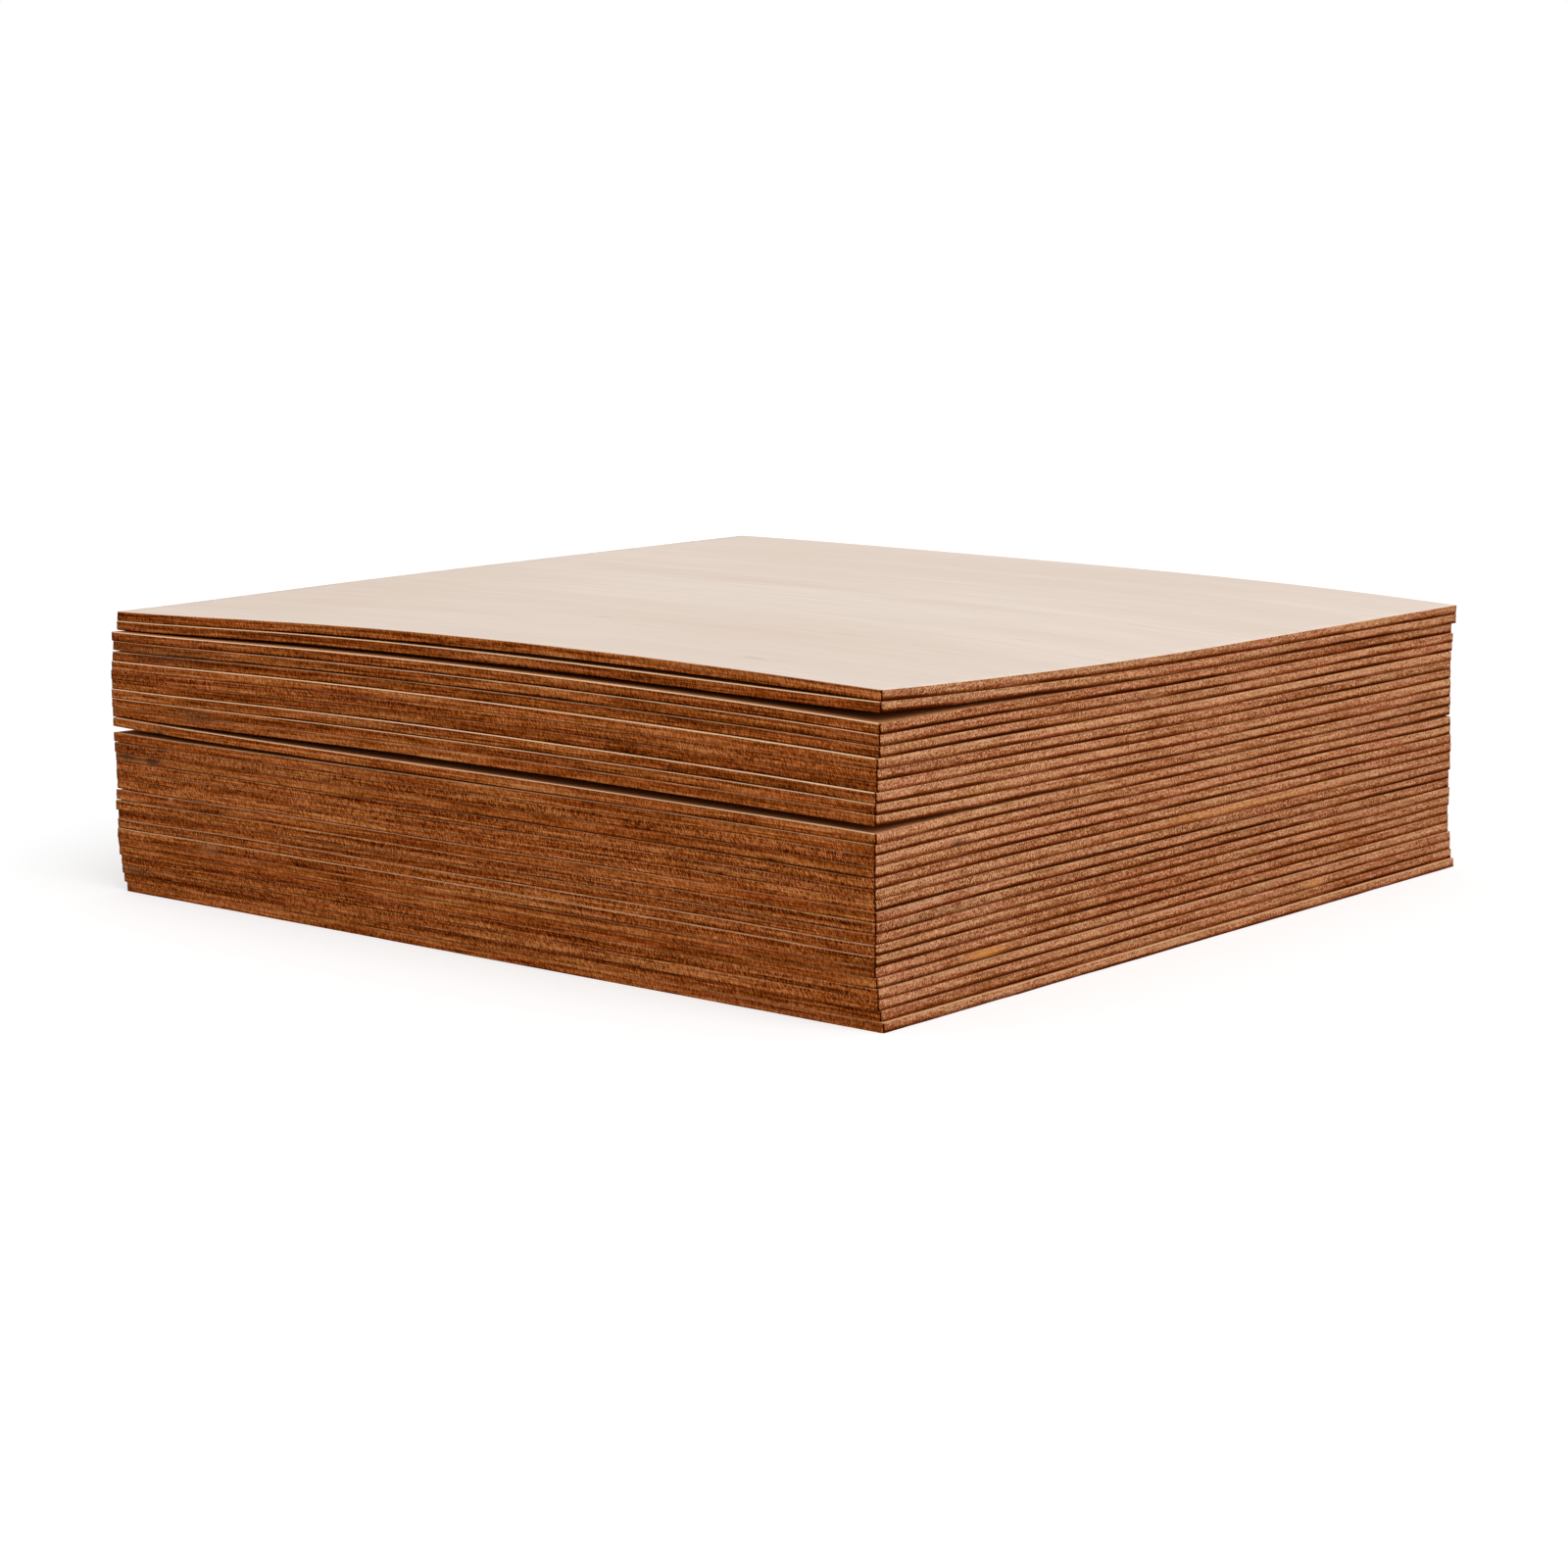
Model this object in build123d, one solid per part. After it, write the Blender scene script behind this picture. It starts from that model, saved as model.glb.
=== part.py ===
"""A stack of thin square plywood sheets, bowed and slipped a little, lying flat on its lowest sheet.

Millimetres, +Z up.  The origin is on the floor under the middle of the stack.  The front face looks
along -Y and the right face along +X.  Sheets are numbered from the top down.
"""
import math
import os

from build123d import *

# One sheet
SHEET_SIDE = 305.0
SHEET_THICKNESS = 2.88

# How far the sheets have slid and swung out of line
SLIP = 1.7
CORNER_SWING = 0.8

# Air between two sheets that lie together: where they touch, where they bow in the upper and in the
# lower part of the stack, and along the right face
SEAT_AIR = 0.05
LAY_AIR = 0.115
LOW_LAY_AIR = 0.085
SIDE_AIR = 0.08

# The openings that show, named by where each lifts the sheets above it
TOP_SHEET_ARCH = 1.0
TOP_PAIR_ARCH = 1.1
TOP_PAIR_CURL = 1.95
TOP_PAIR_BOW = 1.75
MIDDLE_ARCH = 2.2
MIDDLE_BOW = 1.8
SPLAY = 2.0
SPLAY_TRAIL = 0.45
FAR_NOTCH = 0.5
END_NOTCH = 0.5
THIN_LINE = 0.25

# Each underside is a curved patch that reaches past every sheet's edge
PATCH_OVERRUN = 1.0
PATCH_HALF = SHEET_SIDE / 2 + SLIP + CORNER_SWING + PATCH_OVERRUN

# How much of a lift each control point of a patch takes, from one side of the stack to the other
EVEN_shares = (1, 1, 1, 1, 1, 1, 1, 1, 1)
FRONT_EDGE_shares = (1, 0.25, 0, 0, 0, 0, 0, 0, 0)
RIGHT_EDGE_shares = (0, 0, 0, 0, 0, 0, 0, 0.1, 1)
FIRST_TIP_shares = (1, 0, 0, 0, 0, 0, 0, 0, 0)
LAST_TIP_shares = FIRST_TIP_shares[::-1]
TOP_ARCH_shares = (0, 0, 0, 0.5, 1.4, 0.8, 1.7, 1, 0)
RISE_shares = (0, 0.45, 0.85, 1.1, 1.05, 1, 1, 0.95, 0.9)
HUMP_shares = (0, 0, 0.5, 1.2, 1.4, 1.2, 0.6, 0.2, 0.2)
SPLAY_shares = (1, 0.3, 0.3, 0, 0, 0, 0, 0, 0)
TRAIL_shares = (0.3, 1.2, 1.2, 1, 0.9, 0.6, 0.3, 0, 0)
BOW_ACROSS_shares = (1.5, 1.4, 1.2, 1.1, 1, 1, 0.9, 0.5, 0)
BOW_BACK_shares = (0, 0.7, 0.9, 1, 1, 1, 1, 1, 1)
LAY_ACROSS_shares = (0, 0.75, 1.1, 1.2, 1.25, 1.3, 1.3, 1.1, 0.45)
LAY_BACK_shares = (0.8, 1.1, 1, 0.8, 0.7, 0.7, 0.7, 0.7, 0.4)
SIDE_BACK_shares = (0, 0.6, 1, 0.2, 0, 0.3, 0.3, 0, 0)

# Every opening, by the number of the sheet above it: lifts with their shares along X and along Y
OPENINGS = {
    1: [(TOP_SHEET_ARCH, TOP_ARCH_shares, FRONT_EDGE_shares)],
    2: [
        (TOP_PAIR_ARCH, RISE_shares, FRONT_EDGE_shares),
        (TOP_PAIR_CURL, RIGHT_EDGE_shares, FRONT_EDGE_shares),
        (TOP_PAIR_BOW, BOW_ACROSS_shares, BOW_BACK_shares),
    ],
    3: [(THIN_LINE, HUMP_shares, FRONT_EDGE_shares)],
    4: [
        (END_NOTCH, FIRST_TIP_shares, FIRST_TIP_shares),
        (THIN_LINE, RISE_shares, FRONT_EDGE_shares),
    ],
    9: [(THIN_LINE, HUMP_shares, FRONT_EDGE_shares)],
    11: [
        (MIDDLE_ARCH, RISE_shares, FRONT_EDGE_shares),
        (MIDDLE_BOW, BOW_ACROSS_shares, BOW_BACK_shares),
    ],
    12: [
        (SPLAY, SPLAY_shares, FIRST_TIP_shares),
        (SPLAY_TRAIL, TRAIL_shares, FRONT_EDGE_shares),
        (FAR_NOTCH, LAST_TIP_shares, LAST_TIP_shares),
    ],
    13: [(END_NOTCH, FIRST_TIP_shares, FIRST_TIP_shares)],
    15: [(THIN_LINE, RISE_shares, FRONT_EDGE_shares)],
    18: [(END_NOTCH, FIRST_TIP_shares, FIRST_TIP_shares)],
    19: [(END_NOTCH, FIRST_TIP_shares, FIRST_TIP_shares)],
}

# The lower part of the stack, where the sheets lie closer, begins under this sheet
LAST_UPPER_SHEET = 12

# Where each sheet lies, from the top down: shares of the slip along X and Y, and of the swing
PLACE_shares = (
    (-0.8, 1.0, 0.0),
    (-0.8, 0.9, 0.0),
    (-0.8, -0.4, 0.95),
    (-0.7, -0.25, 0.6),
    (-0.7, -0.3, 0.65),
    (-0.6, -0.75, 0.45),
    (-0.65, -0.8, 0.45),
    (-0.6, -0.8, 0.5),
    (-0.45, -1.0, 0.2),
    (-0.5, -1.0, 0.2),
    (-0.45, -0.95, 0.05),
    (-0.45, -0.95, 0.2),
    (-0.45, -0.9, -0.1),
    (-0.45, -0.75, -0.2),
    (-0.4, -0.6, -0.45),
    (-0.4, -0.55, -0.4),
    (-0.4, -0.55, -0.4),
    (-0.4, -0.45, -0.45),
    (-0.4, -0.75, -0.05),
    (-0.4, -0.8, 0.05),
    (-0.4, -0.45, -0.3),
    (-0.4, -0.55, -0.25),
    (-0.45, -0.75, 0.0),
    (-0.45, -0.6, -0.15),
    (-0.45, -0.35, 0.0),
    (-0.05, -0.25, -0.25),
    (-0.05, -0.2, -0.2),
    (0.0, 0.25, -0.15),
    (0.65, 0.25, -0.2),
)


def lifted(net, lift):
    """The net of heights raised by one lift, height times its shares along X and along Y."""
    height, across_shares, back_shares = lift
    return [
        [z + height * across * back for z, back in zip(row, back_shares)]
        for row, across in zip(net, across_shares)
    ]


def next_net(net, upper_sheet):
    """The underside of upper_sheet, above the sheet whose underside is net."""
    lay_air = LOW_LAY_AIR if upper_sheet > LAST_UPPER_SHEET else LAY_AIR
    net = [[z + SHEET_THICKNESS + SEAT_AIR for z in row] for row in net]
    net = lifted(net, (lay_air, LAY_ACROSS_shares, LAY_BACK_shares))
    net = lifted(net, (SIDE_AIR, RIGHT_EDGE_shares, SIDE_BACK_shares))
    for opening in OPENINGS.get(upper_sheet, []):
        net = lifted(net, opening)
    return net


def square_column(place, height):
    """The sheet's own square, slid and turned to its place, as a tall column from the floor."""
    x_share, y_share, swing_share = place
    turn = math.degrees(math.atan2(swing_share * CORNER_SWING, SHEET_SIDE / 2))
    column = extrude(Rectangle(SHEET_SIDE, SHEET_SIDE), height)
    return Pos(x_share * SLIP, y_share * SLIP, 0) * Rot(0, 0, turn) * column


def bowed_slab(net):
    """A slab of one sheet's thickness over the curved patch that the net of heights controls."""
    step = 2 * PATCH_HALF / (len(net) - 1)
    places = [step * i - PATCH_HALF for i in range(len(net))]
    points = [[(x, y, z) for y, z in zip(places, row)] for x, row in zip(places, net)]
    return Solid.extrude(Face.make_bezier_surface(points), (0, 0, SHEET_THICKNESS))


def sheets():
    """Every sheet by its number, from the flat lowest one up."""
    lowest = len(PLACE_shares)
    net = [[0 for _ in EVEN_shares] for _ in EVEN_shares]
    yield lowest, square_column(PLACE_shares[-1], SHEET_THICKNESS)
    for number in range(lowest - 1, 0, -1):
        net = next_net(net, number)
        top = max(map(max, net)) + SHEET_THICKNESS + PATCH_OVERRUN
        yield number, bowed_slab(net) & square_column(PLACE_shares[number - 1], top)


os.makedirs("parts", exist_ok=True)
for number, sheet in sheets():
    export_step(sheet, f"parts/sheet_{number:02d}.step")
    size = sheet.bounding_box().size
    print(f"sheet_{number:02d}: {size.X:.1f} x {size.Y:.1f} x {size.Z:.2f} mm")
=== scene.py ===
# %% [markdown]
# # A stack of plywood sheets
# Twenty-nine thin square sheets lie on each other. Their faces are pale basswood, and their edges are
# browned by the heat of the cut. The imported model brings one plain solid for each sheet, bowed and slid
# to its place. This lesson makes a finely shaped sheet over each solid and gives it its wood.

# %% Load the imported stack
import math

import bpy
import numpy as np
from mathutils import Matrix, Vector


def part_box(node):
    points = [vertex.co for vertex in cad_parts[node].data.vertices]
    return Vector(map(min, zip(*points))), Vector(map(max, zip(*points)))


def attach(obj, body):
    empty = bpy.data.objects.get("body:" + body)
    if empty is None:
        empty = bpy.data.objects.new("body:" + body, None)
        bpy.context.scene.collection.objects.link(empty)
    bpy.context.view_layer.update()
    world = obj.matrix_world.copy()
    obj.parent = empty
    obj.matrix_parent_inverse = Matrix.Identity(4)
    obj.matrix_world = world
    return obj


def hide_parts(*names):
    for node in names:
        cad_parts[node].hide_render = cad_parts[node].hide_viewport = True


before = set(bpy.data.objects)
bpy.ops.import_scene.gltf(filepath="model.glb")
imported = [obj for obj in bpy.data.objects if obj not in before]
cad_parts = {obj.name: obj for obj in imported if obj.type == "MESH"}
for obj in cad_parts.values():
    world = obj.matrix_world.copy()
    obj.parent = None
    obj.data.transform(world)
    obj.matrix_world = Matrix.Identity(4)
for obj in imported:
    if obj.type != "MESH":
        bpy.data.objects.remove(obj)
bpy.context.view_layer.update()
sheet_names = sorted(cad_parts)
print(len(sheet_names), "sheets, from", sheet_names[0], "on top to", sheet_names[-1])

# %% [markdown]
# ## Where a sheet lies
# A real sheet is a square that has slid and turned a little on the pile. Its place could be typed in, but
# then it would have to be kept in step with the solid. The solid's own mesh says it better: the points
# that reach furthest along the diagonals are the corners of the square.

# %% Square of one solid


def solid_triangles(node):
    """The corner points of a solid's triangles, an array of triangle, corner and coordinate."""
    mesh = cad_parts[node].data
    mesh.calc_loop_triangles()
    points = np.empty(3 * len(mesh.vertices))
    mesh.vertices.foreach_get("co", points)
    corners = np.empty(3 * len(mesh.loop_triangles), dtype=np.int32)
    mesh.loop_triangles.foreach_get("vertices", corners)
    return points.reshape(-1, 3)[corners.reshape(-1, 3)]


def plan_frame(triangles):
    """Front left corner, front edge and left edge in plan: the corners are the points that reach
    furthest along the diagonals."""
    plan = triangles.reshape(-1, 3)[:, :2]
    diagonals = np.array([(-1, -1), (1, -1), (-1, 1)])
    front_left, front_right, back_left = plan[np.argmax(plan @ diagonals.T, axis=0)]
    return front_left, front_right - front_left, back_left - front_left


low_corner, high_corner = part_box(sheet_names[-1])
THICKNESS = high_corner.z - low_corner.z
lowest_square = plan_frame(solid_triangles(sheet_names[-1]))
SIDE = np.linalg.norm(lowest_square[1])
print(f"the flat lowest sheet is {SIDE * 1000:.2f} mm wide and {THICKNESS * 1000:.2f} mm thick")

# %% [markdown]
# ## How a sheet is bowed
# A real sheet bends smoothly, but its solid shows the bow as flat facets. The facets could be copied, but
# their straight runs would show along the hairline gaps. A polynomial surface through the facets' corners
# gives the smooth bow back, and a few points read from inside the facets keep it calm between them.

# %% Polynomial surface
BOW_DEGREE = 8


def bernstein(shares):
    """The Bernstein polynomials at each share: choose(n, k) times share^k times (1 - share)^(n - k)."""
    powers = np.arange(BOW_DEGREE + 1)
    choose = np.array([math.comb(BOW_DEGREE, k) for k in powers])
    share = np.asarray(shares)[..., None]
    return choose * share ** powers * (1 - share) ** (BOW_DEGREE - powers)


def bow_basis(across, back):
    """Every product of a polynomial across the sheet and one towards its back, a row for each point."""
    products = bernstein(across)[..., :, None] * bernstein(back)[..., None, :]
    return products.reshape(*np.shape(across), -1)


print("a bow has", (BOW_DEGREE + 1) ** 2, "weights")

# %% Heights inside the facets


def plan_cross(a, b):
    """Twice the area between two plan vectors: x times the other's y, less y times the other's x."""
    return a[..., 0] * b[..., 1] - a[..., 1] * b[..., 0]


def facet_heights(triangles, points):
    """Heights of flat triangles at plan points: the corners' heights, weighed by the areas opposite
    them, in the triangle that holds the point best."""
    a, b, c = (triangles[:, corner, :2] for corner in range(3))
    offset = points[:, None] - a
    area = plan_cross(b - a, c - a)
    weight_b = plan_cross(offset, c - a) / area
    weight_c = plan_cross(b - a, offset) / area
    weights = np.stack([1 - weight_b - weight_c, weight_b, weight_c], axis=-1)
    best = np.argmax(weights.min(axis=-1), axis=1)
    chosen = weights[np.arange(len(points)), best]
    return (chosen * triangles[best, :, 2]).sum(axis=1)


slope = np.array([[(0, 0, 0), (1, 0, 0), (0, 1, 1)]])
print("a quarter of the way up a slope:", facet_heights(slope, np.array([(0.5, 0.25)])))

# %% Read every sheet
FACE_UPRIGHT = 0.5
CALM_COUNT = 15
CALM_WEIGHT = 0.03


def read_sheet(node):
    """Plan frame of a sheet and the polynomial weights of its underside, by least squares."""
    triangles = solid_triangles(node)
    corner, front, left = plan_frame(triangles)
    to_shares = np.linalg.inv(np.stack([front, left], axis=1))
    normals = np.cross(triangles[:, 1] - triangles[:, 0], triangles[:, 2] - triangles[:, 0])
    upright = normals[:, 2] / np.linalg.norm(normals, axis=1)
    under = triangles[upright < -FACE_UPRIGHT]
    over = triangles[upright > FACE_UPRIGHT] - (0, 0, THICKNESS)
    known = np.concatenate([under, over]).reshape(-1, 3)
    steps = (np.arange(CALM_COUNT) + 0.5) / CALM_COUNT
    calm_shares = np.stack(np.meshgrid(steps, steps), axis=-1).reshape(-1, 2)
    calm_heights = facet_heights(under, corner + calm_shares @ np.stack([front, left]))
    known_shares = (known[:, :2] - corner) @ to_shares.T
    rows = np.concatenate([bow_basis(*known_shares.T), CALM_WEIGHT * bow_basis(*calm_shares.T)])
    heights = np.concatenate([known[:, 2], CALM_WEIGHT * calm_heights])
    weights, *_ = np.linalg.lstsq(rows, heights, rcond=None)
    miss = np.abs(bow_basis(*known_shares.T) @ weights - known[:, 2]).max()
    return {"corner": corner, "front": front, "left": left, "bow": weights, "miss": miss}


sheets = {node: read_sheet(node) for node in sheet_names}
worst_miss = max(sheet["miss"] for sheet in sheets.values())
print(f"smooth bows miss the solids by at most {worst_miss * 1000:.3f} mm")

# %% [markdown]
# ## A helper for shader nodes
# The wood's finishes are node trees. They could be wired by hand in the shader editor, but code can be
# read, repeated and changed in one place. Each helper adds one kind of node and returns its output
# socket, so that a material reads like a sum.

# %% Node helpers


def put(tree, kind, inputs=None, **settings):
    """Add one node, set its properties, then fill or link its inputs by name or number."""
    node = tree.nodes.new("ShaderNode" + kind)
    for name, value in settings.items():
        setattr(node, name, value)
    for name, value in (inputs or {}).items():
        if isinstance(value, bpy.types.NodeSocket):
            tree.links.new(value, node.inputs[name])
        else:
            node.inputs[name].default_value = value
    return node


def calc(tree, operation, *values):
    """One sum, product or other operation on numbers."""
    return put(tree, "Math", dict(enumerate(values)), operation=operation).outputs["Value"]


def ease(tree, value, low, high, start=0.0, end=1.0):
    """Go smoothly from start to end as a value goes from low to high."""
    limits = {"Value": value, "From Min": low, "From Max": high, "To Min": start, "To Max": end}
    return put(tree, "MapRange", limits, interpolation_type="SMOOTHSTEP").outputs["Result"]


def tint(tree, amount, under, over):
    """Lay one colour over another by an amount."""
    return put(tree, "Mix", {0: amount, 6: under, 7: over}, data_type="RGBA").outputs[2]


def attribute(tree, name, output="Fac"):
    """A number or vector that the mesh stores at each point."""
    return put(tree, "Attribute", attribute_name=name).outputs[output]


def ramp(tree, value, stops):
    """Colours along a value, from a list of places and colours in rising order."""
    node = put(tree, "ValToRGB", {"Fac": value})
    elements = node.color_ramp.elements
    elements.remove(elements[1])
    elements[0].position = stops[0][0]
    elements[0].color = (*stops[0][1], 1)
    for place, colour in stops[1:]:
        elements.new(place).color = (*colour, 1)
    return node.outputs["Color"]


print("node helpers are ready")

# %% Helpers for groups and materials


def new_group(name, inputs, outputs):
    """An empty node group with named sockets; returns it with its inner ends."""
    group = bpy.data.node_groups.new(name, "ShaderNodeTree")
    for socket, kind in inputs.items():
        group.interface.new_socket(socket, in_out="INPUT", socket_type="NodeSocket" + kind)
    for socket, kind in outputs.items():
        group.interface.new_socket(socket, in_out="OUTPUT", socket_type="NodeSocket" + kind)
    return group, group.nodes.new("NodeGroupInput").outputs, group.nodes.new("NodeGroupOutput").inputs


def new_material(name):
    """A new material with nodes; returns it with its tree and its shader."""
    material = bpy.data.materials.new(name)
    material.use_nodes = True
    return material, material.node_tree, material.node_tree.nodes["Principled BSDF"]


def finish_wood(tree, shader, colour, rough, relief):
    """Link a wood's colour, roughness and relief to a shader without any shine of its own."""
    tree.links.new(colour, shader.inputs["Base Color"])
    tree.links.new(rough, shader.inputs["Roughness"])
    tree.links.new(relief.outputs["Normal"], shader.inputs["Normal"])
    shader.inputs["Specular IOR Level"].default_value = 0.0


print("group and material helpers are ready")

# %% [markdown]
# ## Wood patterns that the finishes share
# Fibres, strokes and slow changes of tone are all the same thing at other lengths: noise that is
# stretched along one direction. Each could have its own nodes, but one group does them all. It reads a
# place stored in the mesh, where the third number is the height through the sheet, so that fibres follow
# the bow of their own sheet.

# %% Group: stretched noise
NOISE_DETAIL = 2.5
stretched_noise, inside, result = new_group(
    "stretched_noise",
    {"Place": "Vector", "Count": "Vector", "Low": "Float", "High": "Float"},
    {"Mask": "Float"},
)
counted = put(stretched_noise, "VectorMath", {0: inside["Place"], 1: inside["Count"]}, operation="MULTIPLY")
noise_inputs = {"Vector": counted.outputs[0], "Scale": 1.0, "Detail": NOISE_DETAIL}
noise = put(stretched_noise, "TexNoise", noise_inputs).outputs["Fac"]
stretched_noise.links.new(ease(stretched_noise, noise, inside["Low"], inside["High"]), result["Mask"])


def pattern(tree, count, low=0.3, high=0.7, place_name="grain"):
    """Noise with so many changes in a metre along X, Y and the height, sharpened between two levels."""
    place = attribute(tree, place_name, "Vector")
    inputs = {"Place": place, "Count": count, "Low": low, "High": high}
    return put(tree, "Group", inputs, node_tree=stretched_noise).outputs["Mask"]


def swing(tree, count, place_name="grain"):
    """The same noise about zero, from minus one half to one half."""
    return calc(tree, "SUBTRACT", pattern(tree, count, place_name=place_name), 0.5)


print("group:", stretched_noise.name)

# %% [markdown]
# ## Saw ticks
# The cut leaves rows of short upright strokes along the edges, about a millimetre apart. Plain noise
# looks too even for them, so a repeating phase runs along the edge instead. Slow noise pushes the phase
# to and fro, and the height leans it, so no two stretches are alike.

# %% Group: saw ticks
DRIFT_TICKS = 9.0
TICK_WIDTH_shares = (0.06, 0.3)
saw_ticks, inside, result = new_group(
    "saw_ticks",
    {"Along": "Float", "Height": "Float", "Pitch": "Float", "Lean": "Float", "Drift": "Float"},
    {"Ticks": "Float"},
)
phase = calc(saw_ticks, "DIVIDE", inside["Along"], inside["Pitch"])
phase = calc(saw_ticks, "ADD", phase, calc(saw_ticks, "MULTIPLY", inside["Height"], inside["Lean"]))
phase = calc(saw_ticks, "MULTIPLY_ADD", inside["Drift"], DRIFT_TICKS, phase)
from_middle = calc(saw_ticks, "SUBTRACT", calc(saw_ticks, "FRACT", phase), 0.5)
from_tick = calc(saw_ticks, "ABSOLUTE", from_middle)
saw_ticks.links.new(ease(saw_ticks, from_tick, *TICK_WIDTH_shares, 1.0, 0.0), result["Ticks"])
print("group:", saw_ticks.name)

# %% [markdown]
# ## Marks on the edges
# The real edges carry dark stains, amber patches and pale flecks. They could be separate thin pieces, but
# they are in the wood and not on it. The mesh stores how strongly each kind shows at each point, and this
# group lays them over the wood's own colour.

# %% Group: marks
MARK_COLOURS = {
    "stain": (0.045, 0.022, 0.014, 1),
    "amber": (0.60, 0.24, 0.055, 1),
    "pale": (0.62, 0.33, 0.17, 1),
}
mark_layers, inside, result = new_group("edge_marks", {"Wood": "Color"}, {"Wood": "Color"})
wood = inside["Wood"]
for kind, colour in MARK_COLOURS.items():
    wood = tint(mark_layers, attribute(mark_layers, kind), wood, colour)
mark_layers.links.new(wood, result["Wood"])
print("group:", mark_layers.name)

# %% [markdown]
# ## The tone of a browned edge
# Heat has turned the cut edges brown, from almost black to tan. Fibres, ticks and dark feet, which are
# partly char and partly painted shade, could each have a colour of their own, but then their mixtures would
# look dirty. Here one number, the tone, runs through a ramp of browns. Every pattern adds to the tone with
# its own weight, so all colours stay in one family. The first patterns are fibres and fine leaning strokes,
# which are also the relief.

# %% Fibres and strokes
STROKE_GAINS = (0.85, 1.25)


def fibre_relief(tree, finish):
    """Height = fibres times their weight + strokes times theirs, with stronger strokes on ticked edges."""
    gain = ease(tree, attribute(tree, "ticked"), 0.0, 1.0, *STROKE_GAINS)
    strokes = calc(tree, "MULTIPLY", swing(tree, finish["stroke_count"], "leaning"), gain)
    fibres = calc(tree, "MULTIPLY", swing(tree, finish["fibre_count"]), finish["fibres"])
    return calc(tree, "MULTIPLY_ADD", strokes, finish["strokes"], fibres)


print("strokes gain", STROKE_GAINS, "from plain to ticked edges")

# %% [markdown]
# The ticks stand in rows at certain heights of the edge. A row that ran the whole way would look printed,
# so noise opens long stretches and short breaks in it, and the mesh says how much a sheet is ticked.

# %% Rows of saw ticks
TICK_BREAK_LEVELS = (0.32, 0.62)


def tick_rows(tree, finish):
    """Darkness = ticks times the row's depth, faded with the height and by noise and the sheet's share."""
    through_here = attribute(tree, "through")
    ticked_here = attribute(tree, "ticked")
    place = put(tree, "SeparateXYZ", {0: attribute(tree, "grain", "Vector")}).outputs
    drift = pattern(tree, finish["tick_drift"], 0.0, 1.0)
    stretches = pattern(tree, finish["tick_spread"], *finish["tick_levels"])
    breaks = pattern(tree, finish["tick_breaks"], *TICK_BREAK_LEVELS)
    darkness = 0.0
    for row in finish["tick_rows"]:
        inputs = {"Along": place[finish["along"]], "Height": place["Z"], "Drift": drift}
        inputs.update({"Pitch": row["pitch"], "Lean": row["lean"]})
        ticks = put(tree, "Group", inputs, node_tree=saw_ticks).outputs["Ticks"]
        above_start = ease(tree, through_here, *row["from"])
        below_end = ease(tree, through_here, *row["to"], 1.0, 0.0)
        shown = ease(tree, ticked_here, *row["shows"])
        for fade in (above_start, below_end, shown, stretches, breaks):
            ticks = calc(tree, "MULTIPLY", ticks, fade)
        darkness = calc(tree, "MULTIPLY_ADD", ticks, row["depth"], darkness)
    return darkness


print("tick rows break up between the levels", TICK_BREAK_LEVELS)

# %% [markdown]
# Each sheet is darkest along its foot and at its upright corners. The dark foot is partly char and partly
# painted shade, the shade on the lower part of a rounded edge and in the joint under it. The foot could be
# a plain dark line, but a real one comes and goes, so noise changes it along the edge. On the end grain the
# patterns also calm down where the foot is dark.

# %% Foot, corners and the whole tone
BURN_REACH = (0.0001, 0.0006)


def foot_char_and_shade(tree, finish):
    """Painted shade and char of the foot = fade with the height, times slow noise, times the sheet's own
    strength.
    """
    fade = ease(tree, attribute(tree, "through"), *finish["foot_reach"], 1.0, 0.0)
    changes = ease(tree, pattern(tree, finish["foot_count"]), 0.0, 1.0, *finish["foot_spread"])
    return calc(tree, "MULTIPLY", calc(tree, "MULTIPLY", fade, changes), attribute(tree, "foot"))


def edge_tone(tree, finish, relief):
    """Tone = middle + sheet's own + (relief + bands - ticks) where the foot is bare - foot - burn."""
    foot = foot_char_and_shade(tree, finish)
    bare = ease(tree, foot, 0.0, 1.0, 1.0, finish["foot_calm"])
    burn = ease(tree, attribute(tree, "from_corner"), *BURN_REACH, 1.0, 0.0)
    texture = relief
    for weight, count in finish["bands"]:
        texture = calc(tree, "MULTIPLY_ADD", swing(tree, count), weight, texture)
    texture = calc(tree, "SUBTRACT", texture, tick_rows(tree, finish))
    tone = calc(tree, "ADD", attribute(tree, "tone"), finish["middle"])
    tone = calc(tree, "MULTIPLY_ADD", texture, bare, tone)
    tone = calc(tree, "MULTIPLY_ADD", foot, -finish["foot_depth"], tone)
    return calc(tree, "MULTIPLY_ADD", burn, -finish["burn_depth"], tone)


print(f"corners are burnt for {BURN_REACH[1] * 1000:.1f} mm")

# %% [markdown]
# ## The colours of a browned edge
# The real browns wander between reddish and golden, and here and there the wood is bleached. One ramp
# would look painted, so noise mixes two ramps. At the top of each sheet the face veneer begins, which
# shows as a pale lip: a full line on some sheets, dashes on others, and hardly anything on the rest.

# %% Browns and the pale lip
GOLDEN_LEVELS = (0.3, 0.72)
BLEACH_LEVELS = (0.52, 0.68)
BLEACH_TONES = (0.2, 0.7)
LIP_GROWTH = 0.03
LIP_FADE = 0.05
LIP_DASH_LEVELS = (0.4, 0.6)
BRIGHT_LIPS = (0.4, 1.0)


def brown_wood(tree, finish, tone):
    """Two ramps of browns along the tone, mixed by noise, then bleached patches where the tone is light."""
    golden = pattern(tree, finish["golden_count"], *GOLDEN_LEVELS)
    wood = tint(tree, golden, ramp(tree, tone, finish["browns"]), ramp(tree, tone, finish["golden_browns"]))
    bleach = pattern(tree, finish["bleach_count"], *BLEACH_LEVELS)
    bleach = calc(tree, "MULTIPLY", bleach, ease(tree, tone, *BLEACH_TONES, 0.0, finish["bleach"]))
    return tint(tree, bleach, wood, (*finish["bleached"], 1))


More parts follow.
